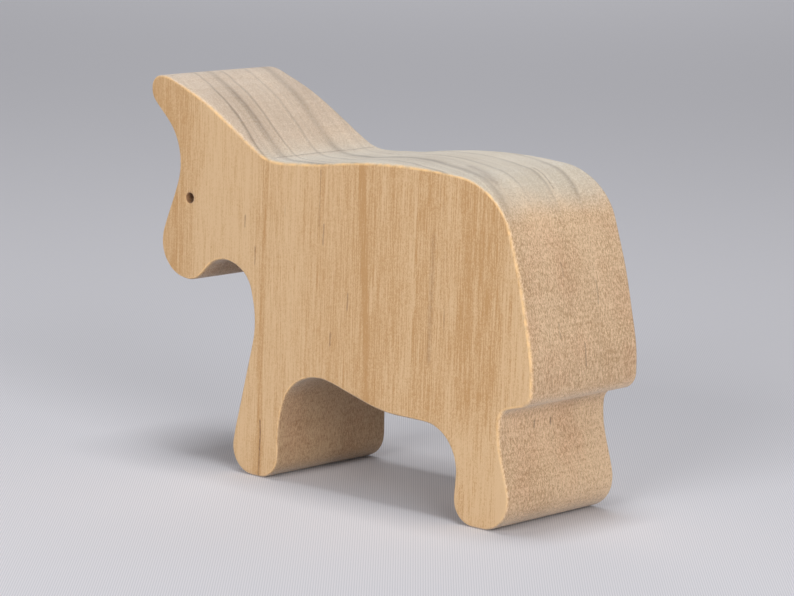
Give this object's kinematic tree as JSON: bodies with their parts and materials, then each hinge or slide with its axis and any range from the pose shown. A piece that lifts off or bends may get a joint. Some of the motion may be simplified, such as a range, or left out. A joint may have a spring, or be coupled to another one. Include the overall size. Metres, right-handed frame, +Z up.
{
  "type": "toy horse",
  "caption": "Plain free-standing toy horse cut from one thick board of pale wood, with eased edges and a drilled eye.",
  "frame": {"origin": "on the floor, under the middle of the horse's overall box", "axes": "+Z up; -X to the head, +X to the tail; the flat side faces look along -Y and +Y"},
  "size_m": [0.1204, 0.038, 0.0919],
  "materials": {
    "bare_wood": "sanded, unfinished, matt"
  },
  "bodies": {
    "root": {"wooden_horse": "bare_wood"}
  },
  "joints": []
}
